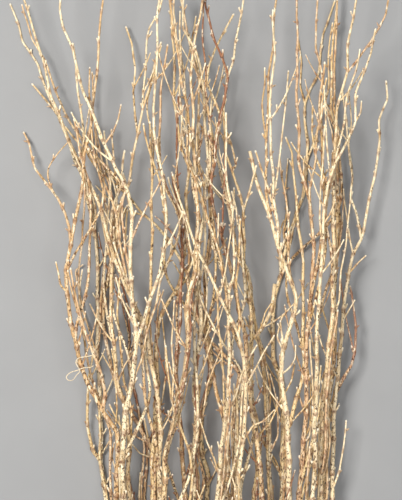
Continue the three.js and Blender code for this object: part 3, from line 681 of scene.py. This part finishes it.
def shoots(skin, twig, tint, rng, thicket, owner, count):
    """Seeded side shoots that lean along the sheaf, kept only where there is room for them."""
    made = 0
    for where in rng.sample(twig.knots, min(len(twig.knots), 3 * count)):
        root, axis, radius = twig.at(where)
        if made == count or loose(root.y) < 1:
            continue
        side = rng.choice((-1, 1))
        length = rng.uniform(*SHOOT_LENGTH)
        spread = math.radians(rng.uniform(*SHOOT_SPREAD)) * side
        heading = Quaternion(Vector((0, 0, 1)), -spread) @ Vector((axis.x, axis.y, 0)).normalized()
        points, p = [], root.copy()
        for i in range(max(3, int(length / RING_STEP)) + 1):
            points.append([p.x, p.y, p.z])
            heading = (heading + Vector((0, SHOOT_TURN, 0))).normalized()
            p = p + heading * RING_STEP
        if not thicket.crowded(points[-1]) or not thicket.crowded(points[len(points) // 2]):
            continue
        shoot_radius = min(SHOOT_RADIUS, 0.6 * radius) * rng.uniform(0.8, 1.1)
        if not thicket.thread(points, shoot_radius * 1.2, owner):
            continue
        add_side_twig(skin, points, shoot_radius, tint, rng, thicket, owner)
        made += 1


def add_side_twig(skin, points, radius, tint, rng, thicket, owner, taper=0.72, age=0.45):
    radii = np.linspace(radius, radius * taper, len(points))
    twig = Twig([Vector(p) for p in points], radii, rng, zigzag=0.5 * ZIGZAG)
    thicket.add(twig, owner)
    skin.tube(twig, tint, rng, sides=max(5, SIDES - 2), age=age)
    sprout(skin, twig, tint, rng, density=0.7)


def branches(skin, twig, others, rng, thicket, owner, count, leaves, ends):
    """Long, thin branches that leave low down and climb between this stem and one beside it."""
    for _ in range(count):
        start = SPREAD_LINE.y + rng.uniform(*leaves)
        end = SPREAD_LINE.y + rng.uniform(*ends)
        if not twig.course[0][1] < start < twig.course[-1][1] - LEAST_BRANCH:
            continue
        end = min(end, twig.course[-1][1])
        own = twig.at_y(0.5 * (start + end))[0]
        beside = [other for other in others
                  if other.course[0][1] < start and other.course[-1][1] > end - NEIGHBOUR_SHORT]
        beside.sort(key=lambda other: abs(other.at_y(own.y)[0].x - own.x))
        if not beside:
            continue
        other = rng.choice(beside[:3])
        end = min(end, other.course[-1][1])
        share = rng.uniform(*BRANCH_CROSSES)
        sway, phase = rng.uniform(*BRANCH_SWAY), rng.uniform(0, math.tau)
        points = []
        for y in np.arange(start, end, RING_STEP):
            a, b = twig.at_y(y)[0], other.at_y(y)[0]
            t = min((y - start) / CROSSING_LENGTH, 1.0)
            across = share * t * t * (3 - 2 * t)
            x = a.x + (b.x - a.x) * across + sway * t * math.sin(phase + y / SWAY_LENGTH)
            points.append([x, y, a.z + (b.z - a.z) * across])
        fewest = int(LEAST_BRANCH / RING_STEP)
        while len(points) > fewest and not thicket.crowded(points[-1]):
            points.pop()
        radius = min(rng.uniform(*BRANCH_RADIUS), 0.8 * twig.at_y(start)[1])
        if len(points) > fewest and thicket.thread(points, radius * 1.1, owner, rooted=35 * MM):
            add_side_twig(skin, points, radius, rng.random(), rng, thicket, owner, taper=0.6, age=0.8)


def planned_side_twig(plan, twig, thicket, owner):
    """The course of a side twig from the table, from its stem's middle and then over or under the rest."""
    _, radius, bends = plan
    flat = [SPREAD_LINE + Vector(bend) * MM for bend in bends]
    root = twig.at_y(flat[0].y)[0]
    flat[0] = root.xy
    lengths = [0.0]
    for a, b in zip(flat, flat[1:]):
        lengths.append(lengths[-1] + (b - a).length)
    along = np.linspace(0, lengths[-1], max(4, int(lengths[-1] / RING_STEP)) + 1)
    xs = np.interp(along, lengths, [p.x for p in flat])
    ys = np.interp(along, lengths, [p.y for p in flat])
    points = [[x, y, root.z] for x, y in zip(xs, ys)]
    thicket.thread(points, radius * MM * 1.2, owner)
    return points, radius * MM


def grow_sheaf():
    """Makes one piece for every stem and fork, and returns the course of each stem and fork, keyed by its
    node's name.
    """
    thicket, twigs = Thicket(), {}
    stems = sorted(n for n in frame["nodes"] if n.startswith("stem") and "fork" not in n)
    forks = sorted(n for n in frame["nodes"] if "fork" in n)
    for node in stems:
        twigs[node] = stem_twig(node, random.Random(node))
    for node in forks:
        twigs[node] = fork_twig(node, twigs[node.split("_fork")[0]], random.Random(node))
    for node, twig in twigs.items():
        thicket.add(twig, node)
    for node, twig in twigs.items():
        rng = random.Random("bark of " + node)
        tint = rng.random()
        skin = Skin()
        whole = node in stems
        skin.tube(twig, tint, rng, cut_start=whole, cut_end=node in BROKEN_OFF, age=1.0 if whole else 0.6)
        sprout(skin, twig, tint, rng)
        for plan in SIDE_TWIGS:
            if plan[0] == node:
                points, radius = planned_side_twig(plan, twig, thicket, node)
                add_side_twig(skin, points, radius, rng.random(), rng, thicket, node)
        others = [twigs[name] for name in twigs if name != node]
        for kind in (BUTT_BRANCHES, LOW_BRANCHES, HIGH_BRANCHES):
            branches(skin, twig, others, rng, thicket, node, **kind)
        shoots(skin, twig, tint, rng, thicket, node, 4 if whole else 1)
        if node == "stem_02":
            add_curl(skin, twig, rng)
        piece = skin.build(node.replace("stem", "twig"), [BARKS[slot_of[node]], WOOD])
        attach(piece, "root")
        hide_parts(node)
    return twigs


def add_curl(skin, twig, rng):
    """The dry fibre that is curled round one stem."""
    middle = twig.at_y(SPREAD_LINE.y + CURL_AT_Y)[0]
    points = [middle + Vector(offset) * MM for offset in CURL]
    curl = Twig(points, [CURL_RADIUS] * len(points), rng, zigzag=0.0, swell=0.0)
    for _ in range(3):
        curl.course = soften(curl.course)
    curl.knot[:] = -0.45  # nearly as pale as a bud
    skin.tube(curl, 0.1, rng, sides=6, age=0.2)


# ---- the binding ------------------------------------------------------------------------------------

def hull(points):
    """The convex outline of points in a plane, anticlockwise."""
    points = sorted(points)

    def chain(run):
        found = []
        for p in run:
            while len(found) > 1:
                (ax, ay), (bx, by) = found[-2], found[-1]
                if (bx - ax) * (p[1] - ay) - (by - ay) * (p[0] - ax) > 0:
                    break
                found.pop()
            found.append(p)
        return found[:-1]

    return chain(points) + chain(reversed(points))


def taut_outline(twigs):
    """The closed line that twine takes when it is pulled tight round the stems at the binding."""
    middles = [twig.at_y(tie_y)[0] for node, twig in twigs.items() if "fork" not in node]
    reach = min(p.z for p in middles) - TWINE_RADIUS  # so that the lowest side lies on the surface
    corners = [(p.x + reach * math.cos(a), p.z + reach * math.sin(a))
               for p in middles for a in np.linspace(0, math.tau, 24, endpoint=False)]
    outline = hull(corners)
    outline.append(outline[0])
    lengths = [0.0]
    for a, b in zip(outline, outline[1:]):
        lengths.append(lengths[-1] + math.dist(a, b))
    along = np.linspace(0, lengths[-1], TURN_STEPS, endpoint=False)
    xs = np.interp(along, lengths, [p[0] for p in outline])
    zs = np.interp(along, lengths, [p[1] for p in outline])
    return list(zip(xs, zs))


def lay_rope(skin, route, radius, rng):
    """Twists the plies along a route."""
    spacing = (route[1] - route[0]).length
    for ply in range(TWINE_PLIES):
        previous = None
        for i, p in enumerate(route):
            axis = (route[min(i + 1, len(route) - 1)] - route[max(i - 1, 0)]).normalized()
            across = axis.orthogonal() if abs(axis.y) > 0.9 else axis.cross(Vector((0, 1, 0))).normalized()
            turn = math.tau * (i * spacing / TWINE_LAY + ply / TWINE_PLIES)
            offset = Quaternion(axis, turn) @ across * radius * 0.5
            ring = skin.ring(p + offset, axis, radius * 0.52, 6, 0.5, 0, 0, 0.06, rng)
            if previous:
                skin.bridge(previous, ring)
            else:
                skin.cap(ring, backwards=True)
            previous = ring
        skin.cap(previous)


def fibres(skin, route, rng):
    """Loose hairs that stand off the twine, except where it lies near the surface."""
    for _ in range(HAIRS):
        root = rng.choice(route)
        d = Vector((rng.gauss(0, 1), rng.gauss(0, 1), abs(rng.gauss(0, 1)))).normalized()
        if root.z < 2 * TWINE_RADIUS + HAIR_LENGTH[1]:
            continue
        start = root + d * TWINE_RADIUS * 0.8
        previous = None
        for forward, share in ((0, 1.0), (0.5, 0.8), (1.0, 0.3)):
            bend = Vector((0, 0.6, 0)) * forward * forward * MM
            point = start + d * forward * rng.uniform(*HAIR_LENGTH) + bend
            ring = skin.ring(point, d, HAIR_RADIUS * share, 3, 0.2, 0, 0)
            if previous:
                skin.bridge(previous, ring)
            else:
                skin.cap(ring, backwards=True)
            previous = ring
        skin.cap(previous)


def bind_sheaf(twigs):
    rng = random.Random("binding")
    skin = Skin()
    outline = taut_outline(twigs)
    pitch = 2 * TWINE_RADIUS
    start = tie_y - TWINE_TURNS * pitch / 2 + TWINE_RADIUS
    winds = (TWINE_TURNS - 1) * len(outline)
    wound = []
    for i in range(winds + 1):
        x, z = outline[i % len(outline)]
        wound.append(Vector((x, start + i / len(outline) * pitch, z)))
    lay_rope(skin, wound, TWINE_RADIUS, rng)
    top = max(z for _, z in outline)
    knot_at = Vector(((tie_low.x + tie_high.x) / 2, tie_y, top + 1.6 * TWINE_RADIUS))
    lay_rope(skin, knot_route(knot_at), TWINE_RADIUS, rng)
    for side in (-1, 1):
        lay_rope(skin, end_route(knot_at, side), TWINE_RADIUS, rng)
    fibres(skin, wound, rng)
    piece = skin.build("twine_turns_and_knot", [JUTE])
    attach(piece, "root")
    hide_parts("twine_binding")


def knot_route(middle):
    """A small closed knot that sits on the turns: it goes round twice and crosses itself three times."""
    route = []
    for i in range(KNOT_STEPS + 1):
        t = math.tau * i / KNOT_STEPS
        reach = 3.4 + 1.5 * math.cos(3 * t)
        route.append(middle + Vector((reach * math.cos(2 * t) * 1.1, reach * math.sin(2 * t) * 0.85,
                                      1.3 * math.sin(3 * t))) * MM)
    return route


def end_route(middle, side):
    """One of the two short cut ends, tucked down beside the knot."""
    route = []
    for i in range(END_STEPS + 1):
        t = i / END_STEPS
        route.append(middle + Vector((side * (3 + 9 * t), side * (1 + 3.5 * t), 0.8 - 2.2 * t * t)) * MM)
    return route


# ---- stage ------------------------------------------------------------------------------------------

def lay_floor():
    bpy.ops.mesh.primitive_plane_add(size=FLOOR_SIZE)
    floor = bpy.context.object
    floor.name = "floor"
    s = Shader("floor")
    grain = s.noise((9, 9, 9), 3)
    s.link(s.mix(grain, srgb("#909192"), srgb("#999a9b")), s.surface.inputs["Base Color"])
    s.surface.inputs["Roughness"].default_value = 0.9
    floor.data.materials.append(s.material)


def light(name, place, target, size, power, colour):
    data = bpy.data.lights.new(name, "AREA")
    data.shape = "DISK"
    data.size = size
    data.energy = power
    data.color = colour
    lamp = bpy.data.objects.new(name, data)
    lamp.location = place
    lamp.rotation_euler = (target - place).to_track_quat("-Z", "Y").to_euler()
    bpy.context.scene.collection.objects.link(lamp)


def set_stage():
    lay_floor()
    middle = Vector((VIEW_SHIFT, cad_high.y - TIPS_ABOVE_VIEW - VIEW_HEIGHT / 2, 0.05))
    data = bpy.data.cameras.new("camera")
    data.sensor_fit = "VERTICAL"
    data.sensor_height = SENSOR
    data.lens = SENSOR * CAMERA_DISTANCE / VIEW_HEIGHT
    camera = bpy.data.objects.new("camera", data)
    camera.location = middle + Vector((0, 0, CAMERA_DISTANCE))
    bpy.context.scene.collection.objects.link(camera)
    bpy.context.scene.camera = camera
    for name, place, size, power, colour in LIGHTS:
        light(name, middle + Vector(place), middle, size, power, colour)
    world = bpy.data.worlds.new("studio")
    world.use_nodes = True
    world.node_tree.nodes["Background"].inputs["Color"].default_value = SKY_COLOUR
    world.node_tree.nodes["Background"].inputs["Strength"].default_value = SKY_STRENGTH
    bpy.context.scene.world = world
    bpy.context.scene.view_settings.view_transform = "Standard"


set_stage()
bind_sheaf(grow_sheaf())
